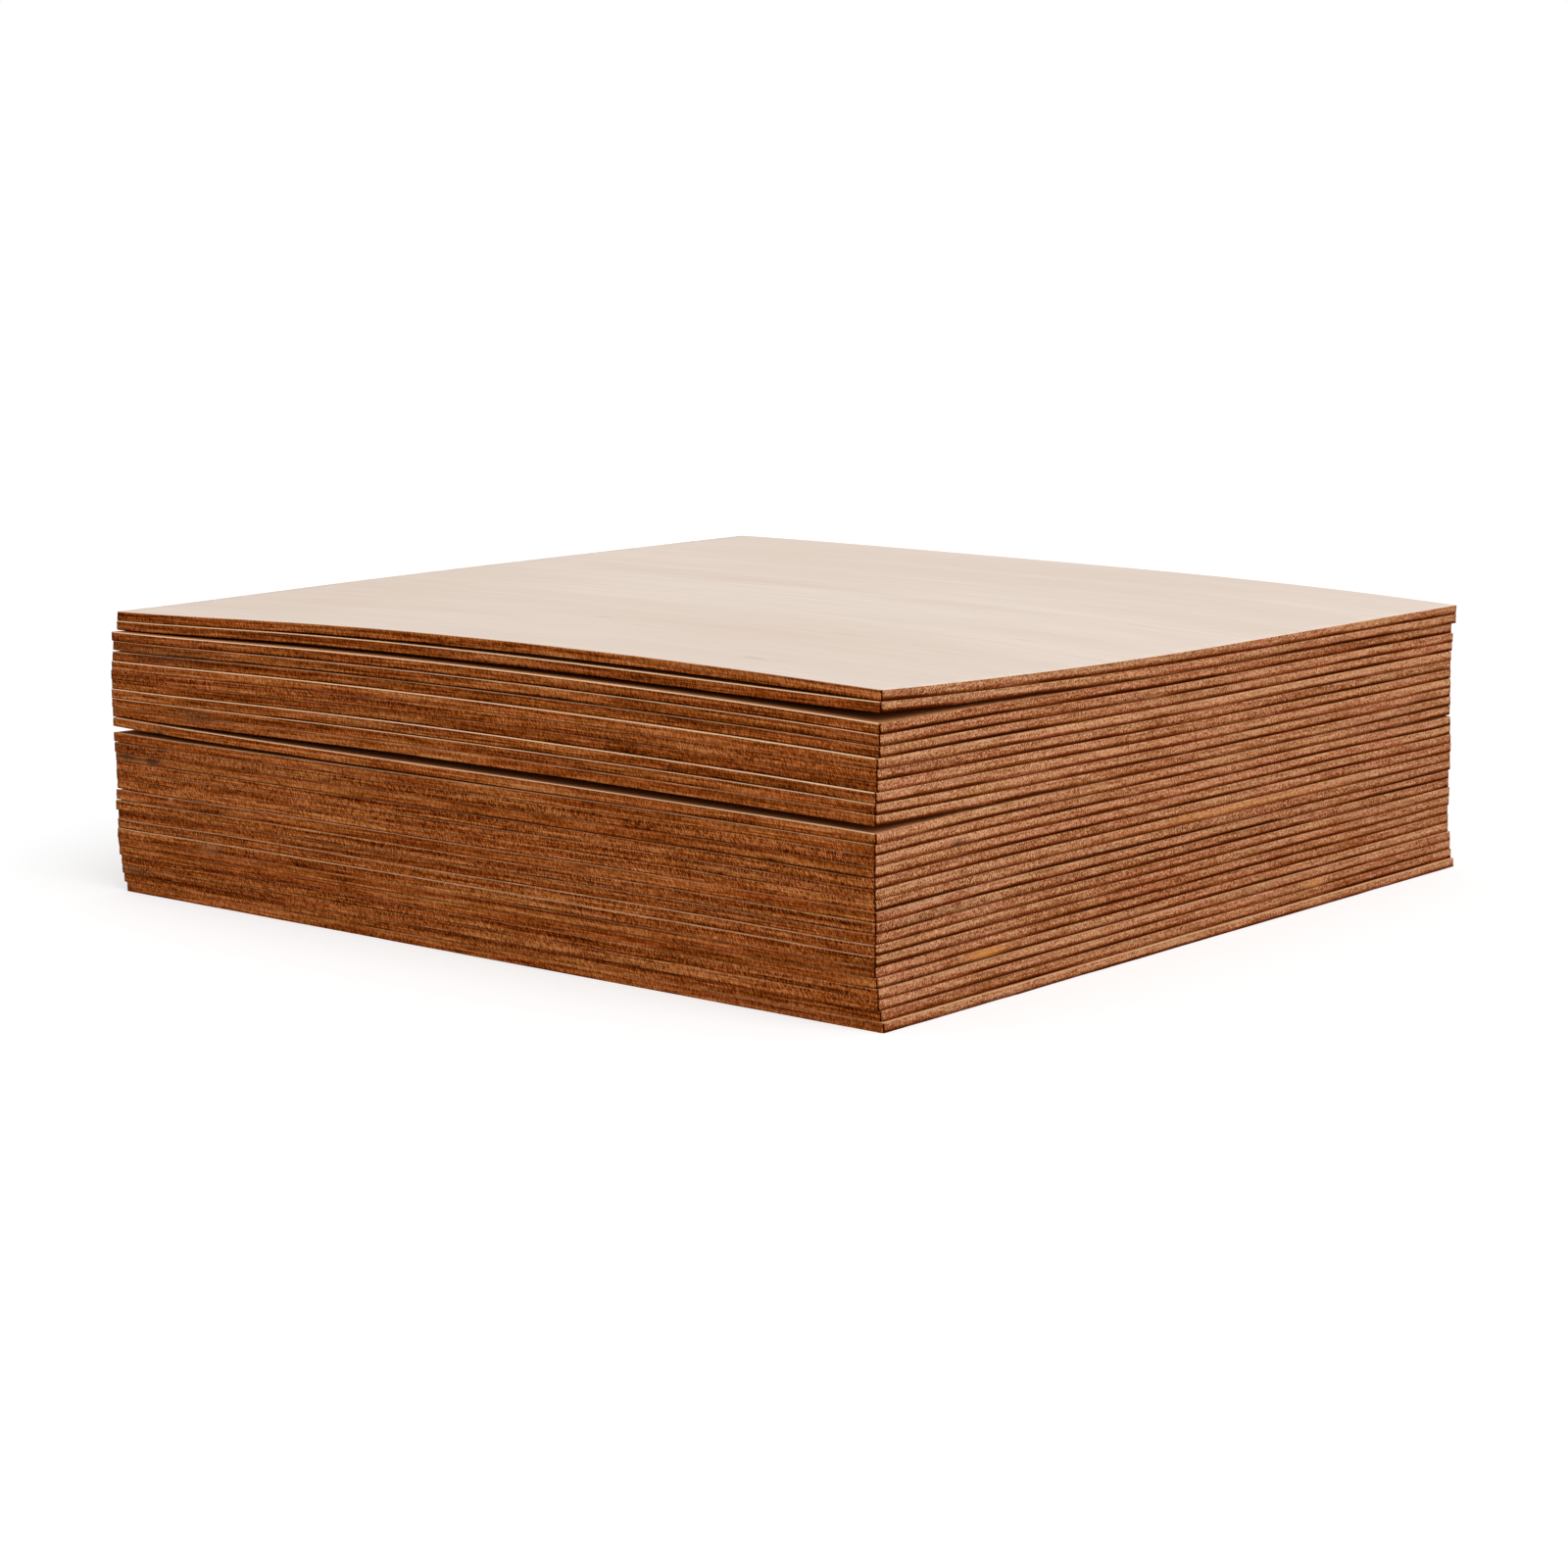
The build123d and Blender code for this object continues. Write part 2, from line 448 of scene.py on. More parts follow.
def with_lip(tree, finish, wood):
    """Lip = the sheet's strength, as dashes where it is weak, over a height that grows with it."""
    rim = attribute(tree, "rim")
    dashes = pattern(tree, finish["lip_count"], *LIP_DASH_LEVELS)
    lip = calc(tree, "MULTIPLY_ADD", calc(tree, "SUBTRACT", 1.0, rim), dashes, rim)
    lip_foot = calc(tree, "MULTIPLY_ADD", rim, -LIP_GROWTH, finish["lip_foot"])
    lip_top = calc(tree, "ADD", lip_foot, LIP_FADE)
    lip_rows = ease(tree, attribute(tree, "through"), lip_foot, lip_top)
    lip = calc(tree, "MULTIPLY", calc(tree, "MULTIPLY", lip, rim), lip_rows)
    bright = ease(tree, rim, *BRIGHT_LIPS)
    lip_wood = tint(tree, bright, (*finish["dull_lip"], 1), (*finish["lip_colour"], 1))
    return tint(tree, lip, wood, lip_wood)


print("lips are bright between the strengths", BRIGHT_LIPS)

# %% [markdown]
# The finished edge is the browned wood with its lip and its marks. Fibres and strokes also bend the light
# a little, as a bump, because they are too fine for the mesh.

# %% Material: browned edge
EDGE_ROUGHNESS = (0.85, 0.62)
EDGE_RELIEF = 0.00018
EDGE_RELIEF_STRENGTH = 0.6


def edge_material(name, finish):
    """The tone through the browns, then the lip and the marks, with fibres and strokes as relief."""
    material, tree, shader = new_material(name)
    height = fibre_relief(tree, finish)
    tone = edge_tone(tree, finish, height)
    wood = with_lip(tree, finish, brown_wood(tree, finish, tone))
    wood = put(tree, "Group", {"Wood": wood}, node_tree=mark_layers).outputs["Wood"]
    rough = ease(tree, tone, 0.0, 1.0, *EDGE_ROUGHNESS)
    bump = {"Height": height, "Distance": EDGE_RELIEF, "Strength": EDGE_RELIEF_STRENGTH}
    finish_wood(tree, shader, wood, rough, put(tree, "Bump", bump))
    return material


print(f"edge relief is {EDGE_RELIEF * 1000:.2f} mm deep")

# %% [markdown]
# ## Long grain on the front and back edges
# Here the cut runs along the fibres: dark saturated orange brown with long level streaks. Counts say how
# many changes a pattern has in a metre along X, Y and the height, so a small first number makes streaks
# that run along the edge.

# %% Finish of the front and back edges
SIDE_FINISH = {
    "along": "X",
    "browns": [
        (0.0, (0.020, 0.0028, 0.0003)),
        (0.25, (0.085, 0.0125, 0.0010)),
        (0.5, (0.225, 0.0435, 0.0048)),
        (0.75, (0.42, 0.0990, 0.0190)),
        (1.0, (0.62, 0.2170, 0.0740)),
    ],
    "golden_browns": [
        (0.0, (0.020, 0.0028, 0.0003)),
        (0.25, (0.085, 0.0148, 0.0012)),
        (0.5, (0.225, 0.0540, 0.0062)),
        (0.75, (0.42, 0.1250, 0.0240)),
        (1.0, (0.62, 0.2620, 0.0880)),
    ],
    "golden_count": (22, 5, 900),
    "middle": 0.59,
    "fibres": 0.34,
    "fibre_count": (70, 5, 2400),
    "strokes": 0.50,
    "stroke_count": (2700, 5, 900),
    "bands": [(0.31, (16, 5, 900)), (0.06, (7, 5, 200))],
    # The foot is partly char and partly painted shade in the joint under the sheet.
    "foot_reach": (0.0, 0.17),
    "foot_count": (12, 5, 40),
    "foot_spread": (0.1, 1.5),
    "foot_depth": 0.36,
    "foot_calm": 1.0,
    "tick_drift": (40, 5, 300),
    "tick_spread": (45, 5, 60),
    "tick_levels": (0.25, 0.58),
    "tick_breaks": (700, 5, 300),
    "tick_rows": [
        {
            "pitch": 0.00122, "lean": 140, "depth": 0.58,
            "from": (0.62, 0.74), "to": (0.86, 0.93), "shows": (0.2, 0.8),
        },
        {
            "pitch": 0.00086, "lean": 60, "depth": 0.50,
            "from": (0.0, 0.1), "to": (0.92, 1.0), "shows": (0.8, 1.0),
        },
    ],
    "burn_depth": 0.8,
    "lip_foot": 0.92,
    "lip_count": (120, 5, 100),
    "lip_colour": (0.90, 0.58, 0.36),
    "dull_lip": (0.46, 0.24, 0.12),
    "bleach": 0.15,
    "bleach_count": (13, 5, 800),
    "bleached": (0.31, 0.150, 0.075),
}
side_edge = edge_material("browned_side_edge", SIDE_FINISH)
print("material:", side_edge.name)

# %% [markdown]
# ## End grain on the left and right edges
# Here the cut runs across the fibres: lighter tan with fine leaning strokes and a broad dark foot, partly
# char and partly painted shade, so that each sheet looks rounded. It could have nodes of its own, but it is
# the same wood cut the other way, so it is the same material with other numbers, and its bands run along Y.

# %% Finish of the left and right edges
END_FINISH = {
    "along": "Y",
    "browns": [
        (0.0, (0.036, 0.0056, 0.0004)),
        (0.25, (0.105, 0.0158, 0.0012)),
        (0.5, (0.24, 0.0565, 0.0150)),
        (0.75, (0.40, 0.1390, 0.0600)),
        (1.0, (0.66, 0.3220, 0.1820)),
    ],
    "golden_browns": [
        (0.0, (0.036, 0.0056, 0.0004)),
        (0.25, (0.105, 0.0175, 0.0013)),
        (0.5, (0.24, 0.0690, 0.0165)),
        (0.75, (0.40, 0.1650, 0.0620)),
        (1.0, (0.66, 0.3670, 0.1880)),
    ],
    "golden_count": (5, 22, 700),
    "middle": 0.775,
    "fibres": 0.14,
    "fibre_count": (5, 620, 1100),
    "strokes": 0.58,
    "stroke_count": (5, 2700, 1700),
    "bands": [(0.12, (5, 11, 250)), (0.22, (5, 70, 1500))],
    # The broad foot is partly char and partly painted shade on the lower part of a rounded edge.
    "foot_reach": (0.08, 0.50),
    "foot_count": (5, 16, 40),
    "foot_spread": (0.55, 1.15),
    "foot_depth": 0.64,
    "foot_calm": 0.4,
    "tick_drift": (5, 45, 300),
    "tick_spread": (5, 40, 60),
    "tick_levels": (0.25, 0.50),
    "tick_breaks": (5, 700, 300),
    "tick_rows": [
        {
            "pitch": 0.00084, "lean": 80, "depth": 0.42,
            "from": (0.2, 0.4), "to": (0.92, 1.0), "shows": (0.2, 1.0),
        },
    ],
    "burn_depth": 0.35,
    "lip_foot": 0.95,
    "lip_count": (5, 160, 100),
    "lip_colour": (0.66, 0.38, 0.20),
    "dull_lip": (0.50, 0.25, 0.12),
    "bleach": 0.22,
    "bleach_count": (5, 13, 700),
    "bleached": (0.42, 0.235, 0.140),
}
end_edge = edge_material("browned_end_edge", END_FINISH)
print("material:", end_edge.name)

# %% [markdown]
# ## Pale faces
# The face veneer is basswood: almost white, with faint pinkish streaks along the grain and a few short
# darker flecks. Noise alone would put them anywhere, so those that catch the eye on the top sheet are
# listed one by one, as soft patches. Each has a centre and half lengths in metres, and a strength. The
# grain of every sheet is read one offset further on than that of the sheet above it, so that no two are
# alike, and the top face lies at one offset plus one thickness.

# %% Streaks and flecks of the top face
SHEET_OFFSET = 0.05
TOP_PLACE = SHEET_OFFSET + THICKNESS
PATCH_CORE_share = 0.1
TOP_STREAKS = [
    ((-0.060, 0.032), (0.110, 0.016), 0.55),
    ((0.045, 0.022), (0.070, 0.010), 0.40),
    ((-0.085, -0.100), (0.070, 0.012), 0.50),
    ((0.030, -0.078), (0.080, 0.010), 0.35),
    ((0.105, -0.015), (0.050, 0.010), 0.25),
    ((-0.100, 0.120), (0.060, 0.030), 0.30),
    ((-0.130, -0.080), (0.090, 0.150), 0.50),
]
TOP_FLECKS = [
    ((-0.009, -0.082), (0.006, 0.0012), 0.55),
    ((0.088, -0.127), (0.007, 0.0012), 0.60),
    ((0.012, -0.090), (0.004, 0.0008), 0.35),
    ((0.070, -0.062), (0.010, 0.0010), 0.30),
    ((0.110, -0.030), (0.008, 0.0012), 0.30),
]


def patch(tree, centre, half, strength):
    """A soft patch on the top face: strength at its centre, falling to nothing at its half lengths."""
    place = attribute(tree, "grain", "Vector")
    offset = put(tree, "VectorMath", {0: place, 1: (*centre, TOP_PLACE)}, operation="SUBTRACT").outputs[0]
    scaled = put(tree, "VectorMath", {0: offset, 1: (*half, THICKNESS)}, operation="DIVIDE").outputs[0]
    length = put(tree, "VectorMath", {0: scaled}, operation="LENGTH").outputs["Value"]
    return ease(tree, length, PATCH_CORE_share, 1.0, strength, 0.0)


print(len(TOP_STREAKS), "streaks and", len(TOP_FLECKS), "flecks by hand")

# %% [markdown]
# Next to the edge a face keeps a thin bright rim. On the sheets that lie under others the faces have a
# darker brown margin behind that rim, which shows inside the gaps. Both follow the distance from the edge,
# which the mesh stores.

# %% Material: basswood face
CREAM = (0.790, 0.688, 0.612, 1)
PINK = (0.690, 0.565, 0.472, 1)
FLECK = (0.50, 0.36, 0.26, 1)
RIM = (0.86, 0.62, 0.38, 1)
MARGIN = (0.40, 0.165, 0.062, 1)
FACE_BANDS = 0.45
FACE_BAND_COUNT = (4, 26, 30)
FACE_FIBRES = 0.40
FACE_FIBRE_COUNT = (22, 700, 30)
STREAK_BREAKS = (0.6, 1.0)
FINE_FLECKS = 0.3
FINE_FLECK_COUNT = (90, 900, 30)
FINE_FLECK_LEVELS = (0.68, 0.76)
MARGIN_REACH = (0.018, 0.045)
RIM_REACH = (0.0002, 0.0010)
FACE_ROUGHNESS = (0.52, 0.64)
FACE_RELIEF = 0.00004
FACE_RELIEF_STRENGTH = 0.5


def face_wood(tree, fibres):
    """Cream, tinted pink by bands, fibres and streaks, then darker flecks, the margin and the rim."""
    bands = pattern(tree, FACE_BAND_COUNT)
    wood = tint(tree, calc(tree, "MULTIPLY", bands, FACE_BANDS), CREAM, PINK)
    wood = tint(tree, calc(tree, "MULTIPLY", fibres, FACE_FIBRES), wood, PINK)
    breaks = ease(tree, fibres, 0.0, 1.0, *STREAK_BREAKS)
    for streak in TOP_STREAKS:
        wood = tint(tree, calc(tree, "MULTIPLY", patch(tree, *streak), breaks), wood, PINK)
    for fleck in TOP_FLECKS:
        wood = tint(tree, patch(tree, *fleck), wood, FLECK)
    fine_flecks = pattern(tree, FINE_FLECK_COUNT, *FINE_FLECK_LEVELS)
    wood = tint(tree, calc(tree, "MULTIPLY", fine_flecks, FINE_FLECKS), wood, FLECK)
    from_edge = attribute(tree, "from_edge")
    margin = ease(tree, from_edge, *MARGIN_REACH, 1.0, 0.0)
    # The darker brown margin lies on every face except the top face of the top sheet.
    wood = tint(tree, calc(tree, "MULTIPLY", margin, attribute(tree, "brown_margin")), wood, MARGIN)
    rim = ease(tree, from_edge, *RIM_REACH, 1.0, 0.0)
    return tint(tree, calc(tree, "MULTIPLY", rim, attribute(tree, "rim")), wood, RIM)


def face_material(name):
    """The face's wood, with its fibres as relief and in the roughness."""
    material, tree, shader = new_material(name)
    fibres = pattern(tree, FACE_FIBRE_COUNT)
    rough = ease(tree, fibres, 0.0, 1.0, *FACE_ROUGHNESS)
    bump = {"Height": fibres, "Distance": FACE_RELIEF, "Strength": FACE_RELIEF_STRENGTH}
    finish_wood(tree, shader, face_wood(tree, fibres), rough, put(tree, "Bump", bump))
    return material


basswood_face = face_material("basswood_face")
print("material:", basswood_face.name)

# %% [markdown]
# ## The rings of a sheet
# A sheet could be a subdivided box, but then its faces would need as many points across the whole sheet
# as its edges need along their rim. Here the mesh is a set of closed square rings instead. The edge is a
# section carried round the square, with softened arrises, and each face is a few rings that get coarser
# towards the middle.

# %% Faces between two rings


def square_walk(count):
    """Shares across and back of points spaced evenly round a square, from its front left corner."""
    walk = 4 * np.arange(count) / count
    corners = np.arange(5)
    return np.interp(walk, corners, [0, 1, 1, 0, 0]), np.interp(walk, corners, [0, 0, 1, 1, 0])


def strip(inner, inner_count, outer, outer_count):
    """Triangles between two rings that start at those numbers: each outer step joins the nearest inner
    point, and each inner step joins the outer point at its middle."""
    several = outer_count // inner_count
    step = np.arange(outer_count)
    nearest = np.floor((step + 0.5) / several + 0.5).astype(int) % inner_count
    outwards = np.stack([inner + nearest, outer + step, outer + (step + 1) % outer_count], axis=1)
    turn = np.arange(inner_count)
    middle = turn * several + several // 2
    inwards = np.stack([inner + turn, outer + middle, inner + (turn + 1) % inner_count], axis=1)
    return np.concatenate([outwards, inwards])


def ring_faces(counts):
    """Triangles of a closed stack of rings, with a point at each end to close the middles."""
    starts = np.concatenate([[0], np.cumsum(counts)])
    end = starts[-1]
    parts = []
    for ring, (count, following) in enumerate(zip(counts, counts[1:])):
        if count <= following:
            parts.append(strip(starts[ring], count, starts[ring + 1], following))
        else:
            parts.append(strip(starts[ring + 1], following, starts[ring], count)[:, ::-1])
    first = np.arange(counts[0])
    last = starts[-2] + np.arange(counts[-1])
    parts.append(np.stack([np.full_like(first, end), first, np.roll(first, -1)], axis=1))
    parts.append(np.stack([np.full_like(last, end + 1), np.roll(last, -1), last], axis=1))
    return np.concatenate(parts)


print("rings of 4 and 8 points join in", len(ring_faces([4, 8])), "triangles")

# %% The rings of every sheet
EDGE_COUNT = 1200
PER_SIDE = EDGE_COUNT // 4
RIM_COUNT = 300
FACE_COUNT = 60
RIM_INSET = 0.005
FACE_INSETS = (0.140, 0.120, 0.095, 0.070, 0.045, 0.020)
EDGE_ROW_shares = np.array([1.0, 0.96, 0.88, 0.7, 0.5, 0.3, 0.12, 0.04, 0.0])

face_counts = np.array([FACE_COUNT] * len(FACE_INSETS) + [RIM_COUNT])
face_insets = np.repeat([*FACE_INSETS, RIM_INSET], face_counts)
under_insets = np.repeat([RIM_INSET, *FACE_INSETS[::-1]], face_counts[::-1])
edge_counts = np.full(len(EDGE_ROW_shares), EDGE_COUNT)
ring_counts = np.concatenate([face_counts, edge_counts, face_counts[::-1]])
on_edge = slice(face_counts.sum(), face_counts.sum() + edge_counts.sum())
side_numbers = np.arange(EDGE_COUNT) // PER_SIDE
ring_triangles = ring_faces(ring_counts)
print(len(ring_counts), "rings and", len(ring_triangles), "triangles for each sheet")

# %% [markdown]
# ## Irregular edges
# No cut edge is a perfect plane. Each one leans a little, wanders along its length and is rough from
# point to point. The end grain has softer arrises than the long grain, because its fibres break away. A
# bump could shade this, but these small differences show at the corners and against the gaps, so they
# are geometry.

# %% Relief of one edge
SIDE_ARRIS = 0.00005
END_ARRIS = 0.00024
ARRIS_CHANGE_share = 0.25
LEAN = 0.00006
WANDER = 0.00005
WANDER_KNOTS = 120
ROUGHNESS = 0.000018
CORNER_ROUND = 0.00012


def wandering(dice, knots):
    """A closed line round the edge through random knots, straight between them."""
    heights = dice.normal(size=knots)
    along = np.arange(EDGE_COUNT) * knots / EDGE_COUNT
    return np.interp(along, np.arange(knots + 1), np.append(heights, heights[0]))


def edge_insets(dice):
    """How far each point of the edge lies inside the square, an array of row and place: the arris is
    the square of the nearness to a face, then come lean, wander and roughness."""
    arris = np.where(side_numbers % 2 == 0, SIDE_ARRIS, END_ARRIS)
    arris = arris * (1 + ARRIS_CHANGE_share * wandering(dice, WANDER_KNOTS))
    depth = THICKNESS * np.minimum(EDGE_ROW_shares, 1 - EDGE_ROW_shares)[:, None]
    inset = arris * np.clip(1 - depth / arris, 0, 1) ** 2
    lean = LEAN * dice.normal(size=4)[side_numbers]
    inset = inset + lean * (EDGE_ROW_shares[:, None] - 0.5)
    inset = inset + WANDER * wandering(dice, WANDER_KNOTS)
    inset = inset + ROUGHNESS * dice.normal(size=inset.shape)
    inset[:, ::PER_SIDE] += CORNER_ROUND
    return inset


print(f"arrises of {SIDE_ARRIS * 1000:.2f} and {END_ARRIS * 1000:.2f} mm")

# %% [markdown]
# ## Marks one by one
# A few stains, patches, flecks and chips make this stack what it is. Noise would put them in other
# places, so each is written down: its kind, the number of its sheet, its side, its place and half length
# along the edge in metres, its height through the sheet as a share, and its strength. Each is a soft
# bell, and a chip also goes into the edge.

# %% Stains, patches, flecks and chips
SIDE_NAMES = ("front", "right", "back", "left")
MARK_SPREAD_share = 0.45
MARKS = [
    ("stain", 15, "front", -0.148, 0.006, 0.6, 0.8),
    ("stain", 15, "front", -0.136, 0.004, 0.5, 0.9),
    ("stain", 4, "front", -0.125, 0.022, 0.3, 0.45),
    ("stain", 5, "front", -0.130, 0.018, 0.6, 0.4),
    ("stain", 10, "front", -0.115, 0.009, 0.4, 0.5),
    ("stain", 11, "front", -0.113, 0.007, 0.7, 0.45),
    ("stain", 27, "front", -0.146, 0.008, 0.5, 0.6),
    ("chip", 12, "front", -0.132, 0.0035, 0.0, 1.0),
    ("pale", 19, "front", -0.127, 0.0009, 1.1, 0.8),
    ("pale", 23, "front", -0.109, 0.004, 0.6, 0.25),
    ("chip", 14, "right", -0.1175, 0.003, 0.15, 0.9),
    ("amber", 25, "right", -0.105, 0.008, 0.6, 0.85),
    ("stain", 20, "right", -0.126, 0.025, 0.5, 0.25),
    ("amber", 17, "right", 0.02, 0.05, 0.6, 0.35),
    ("amber", 27, "right", 0.0665, 0.004, 0.5, 0.6),
]


def edge_marks(number, plan):
    """Strength of each kind of mark over the edge's rows and places: a bell along and through."""
    strengths = {kind: np.zeros((len(EDGE_ROW_shares), EDGE_COUNT)) for kind in (*MARK_COLOURS, "chip")}
    for kind, sheet, name, place, half, through_share, strength in MARKS:
        if sheet != number:
            continue
        side = SIDE_NAMES.index(name)
        along = np.exp(-((plan[:, side % 2] - place) / half) ** 2) * (side_numbers == side)
        height = np.exp(-((EDGE_ROW_shares - through_share) / MARK_SPREAD_share) ** 2)
        strengths[kind] += strength * height[:, None] * along
    return strengths


print(len(MARKS), "marks by hand")

# %% [markdown]
# ## What differs from sheet to sheet
# Some sheets show a bright lip, some are darker, some are full of saw ticks, and some have a black foot.
# Dice would give another stack, so the sheets that stand out are listed by side and number, and all
# others take the plain value of their side.

# %% One value for each side


def by_side(number, listed, plain):
    """One value for each place round the edge: what is listed for its side, or else the plain value."""
    values = [listed.get(name, {}).get(number, plain[name]) for name in SIDE_NAMES]
    return np.repeat(values, PER_SIDE)


print("each side has", PER_SIDE, "places")

# %% Pale lips
PALE_RIMS = {
    "front": {
        1: 0.6, 2: 1.0, 3: 1.0, 4: 0.85, 5: 0.6, 6: 1.0, 7: 0.25, 8: 0.35, 9: 1.0, 10: 0.85, 11: 0.6,
        12: 0.85, 13: 0.6, 16: 0.25, 20: 0.5, 21: 0.65, 22: 0.65, 23: 0.65, 24: 0.5,
    },
    "right": {1: 0.3, 3: 0.2, 12: 0.3, 13: 0.15, 19: 0.4, 26: 0.35, 29: 0.75},
    "back": {1: 0.6},
    "left": {1: 0.5},
}
PLAIN_RIMS = {"front": 0.4, "right": 0.08, "back": 0.4, "left": 0.08}
print(sum(map(len, PALE_RIMS.values())), "lips are listed")

# %% Tones
TONES = {
    "front": {
        1: 0.0, 2: -0.05, 3: 0.03, 4: -0.08, 5: -0.11, 6: 0.03, 7: -0.02, 8: -0.12, 9: -0.05, 10: -0.05,
        12: 0.05, 18: 0.08, 26: -0.05,
    },
    "right": {
        3: -0.07, 6: 0.08, 9: 0.06, 14: 0.05, 17: 0.08, 22: -0.04, 23: -0.04, 24: -0.04, 28: -0.07,
    },
    "back": {1: 0.05, 5: -0.08, 11: 0.06, 17: -0.06, 22: 0.05, 26: -0.05},
    "left": {2: -0.06, 7: 0.07, 13: -0.05, 18: 0.06, 25: -0.06},
}
PLAIN_TONES = dict.fromkeys(SIDE_NAMES, 0.0)
TONE_SPREAD = 0.012
print(sum(map(len, TONES.values())), "tones are listed")

# %% Ticked edges
TICKED = {
    "front": {
        3: 0.4, 6: 0.4, 7: 0.6, 14: 1.0, 16: 0.8, 17: 0.8, 18: 0.8, 20: 0.8, 21: 0.5, 22: 0.7, 23: 0.7,
        26: 0.8, 27: 0.8, 28: 0.6,
    },
    "right": {
        2: 0.6, 4: 0.6, 7: 0.8, 8: 0.6, 15: 0.6, 16: 0.8, 17: 0.8, 18: 1.0, 20: 1.0, 21: 0.6,
    },
}
PLAIN_TICKED = {"front": 0.25, "right": 0.5, "back": 0.35, "left": 0.5}
print(sum(map(len, TICKED.values())), "ticked edges are listed")

# %% Dark feet
# How dark each sheet's foot is: partly char and partly painted shade, deepest where the joint below is
# open.
FEET = {
    "front": {1: 1.0, 2: 1.0, 3: 1.0, 4: 1.0, 5: 1.0, 8: 1.0, 9: 0.9, 11: 0.9, 15: 0.6},
    "right": {2: 1.15, 3: 1.25, 5: 1.25, 15: 1.15, 18: 1.1, 19: 1.25},
    "back": {3: 1.0, 7: 0.8, 12: 1.0, 19: 0.8},
    "left": {4: 1.2, 10: 1.2, 21: 1.2},
}
PLAIN_FEET = {"front": 0.55, "right": 1.0, "back": 0.3, "left": 1.0}
print(sum(map(len, FEET.values())), "feet are listed")

# %% [markdown]
# ## Building the sheets
# Each sheet takes its square and bow from its solid. A ring's points are the square drawn in by the
# ring's inset, at the height of the bow plus the height through the sheet. All sheets share the same
# rings, so the walk round them, the heights and the materials of the triangles are worked out once.

# %% What all sheets share
MATERIALS = (basswood_face, side_edge, end_edge)

middles = np.full((2, 2), 0.5)
walk_across, walk_back = np.concatenate([*map(square_walk, ring_counts), middles], axis=1)
on_faces = np.ones(face_counts.sum())
edge_through = np.repeat(EDGE_ROW_shares, EDGE_COUNT)
through = np.concatenate([on_faces, edge_through, 0 * on_faces, [1, 0]])
all_on_edge = ((ring_triangles >= on_edge.start) & (ring_triangles < on_edge.stop)).all(axis=1)
places = (ring_triangles - on_edge.start) % EDGE_COUNT
first_place = places.min(axis=1)
last_place = places.max(axis=1)
edge_place = np.where(last_place - first_place > 1, last_place, first_place)
material_numbers = np.where(all_on_edge, 1 + edge_place // PER_SIDE % 2, 0)
side_place = np.arange(EDGE_COUNT) % PER_SIDE
corner_distance = SIDE / PER_SIDE * np.minimum(side_place, PER_SIDE - side_place)


def sheet_points(sheet, inset):
    """Points of all rings: the square drawn in by the inset, at the bow plus the height through."""
    keep = 1 - 2 * inset / SIDE
    across = 0.5 + (walk_across - 0.5) * keep
    back = 0.5 + (walk_back - 0.5) * keep
    plan = sheet["corner"] + np.outer(across, sheet["front"]) + np.outer(back, sheet["left"])
    return np.column_stack([plan, bow_basis(across, back) @ sheet["bow"] + THICKNESS * through])


print("a sheet has", len(through), "points")

# %% [markdown]
# ## Fuzz that closes the joints
# On the long grain the torn fibres of a top arris reach up to the next sheet, so most joints there are
# broken hairlines and not open slots. Hairs would be far too many, so the arris itself stands up by a
# wandering share of the air above it. The top sheet has none, and nor do the sheets whose tops lie in a
# long opening or show a clean bright lip.

# %% Fuzz of one sheet
CLEAR_TOPS = (1, 2, 3, 4, 5, 6, 9, 10, 12, 13, 16)
FUZZ_share = 0.75
FUZZ_SPREAD_share = 0.15
FUZZ_LIMIT_share = 0.92
FUZZ_LIMIT = 0.0003
FUZZ_KNOTS = 400


def air_above(node, points):
    """Height of the air over points of a sheet: the underside of the next sheet up, less the points."""
    upper = sheets[sheet_names[sheet_names.index(node) - 1]]
    to_shares = np.linalg.inv(np.stack([upper["front"], upper["left"]], axis=1))
    shares = (points[:, :2] - upper["corner"]) @ to_shares.T
    return bow_basis(*shares.T) @ upper["bow"] - points[:, 2]


def fuzz(node, points, dice):
    """How far the top arris stands up: a wandering share of the air over it, on the closed long sides."""
    if int(node[-2:]) in CLEAR_TOPS:
        return np.zeros(EDGE_COUNT)
    share = np.clip(FUZZ_share + FUZZ_SPREAD_share * wandering(dice, FUZZ_KNOTS), 0, FUZZ_LIMIT_share)
    long_side = side_numbers % 2 == 0
    return share * long_side * np.clip(air_above(node, points), 0, FUZZ_LIMIT)


print(len(sheet_names) - len(CLEAR_TOPS), "sheets have fuzz")

# %% [markdown]
# ## What the materials read
# A pattern could read where a point is in space, but then the wood would run on from sheet to sheet. So
# the mesh stores a place in the grain of its own sheet, a second one that leans for the strokes, the
# height through the sheet, the distances from edge and corner, the tone and the marks.

# %% Attributes of one sheet
STROKE_LEAN_shares = (0.45, -0.3, 0)
CHIP_DARKENING_share = 0.7


def store(mesh, name, values, kind="FLOAT"):
    """Write one array of numbers or vectors into the mesh as a point attribute."""
    field = "vector" if kind == "FLOAT_VECTOR" else "value"
    mesh.attributes.new(name, kind, "POINT").data.foreach_set(field, np.ravel(values).astype(np.float32))


def on_whole_sheet(edge_values):
    """Values of the edge's rows and places, or of its places alone, with nothing on the faces."""
    values = np.zeros(len(through))
    values[on_edge] = np.broadcast_to(edge_values, (len(EDGE_ROW_shares), EDGE_COUNT)).ravel()
    return values


def store_places(mesh, points, number):
    """Place in the grain = plan and height through the sheet, far from other sheets' places."""
    height = THICKNESS * through
    grain = np.column_stack([points[:, :2], height + SHEET_OFFSET * number])
    store(mesh, "grain", grain, "FLOAT_VECTOR")
    store(mesh, "leaning", grain + np.outer(height, STROKE_LEAN_shares), "FLOAT_VECTOR")


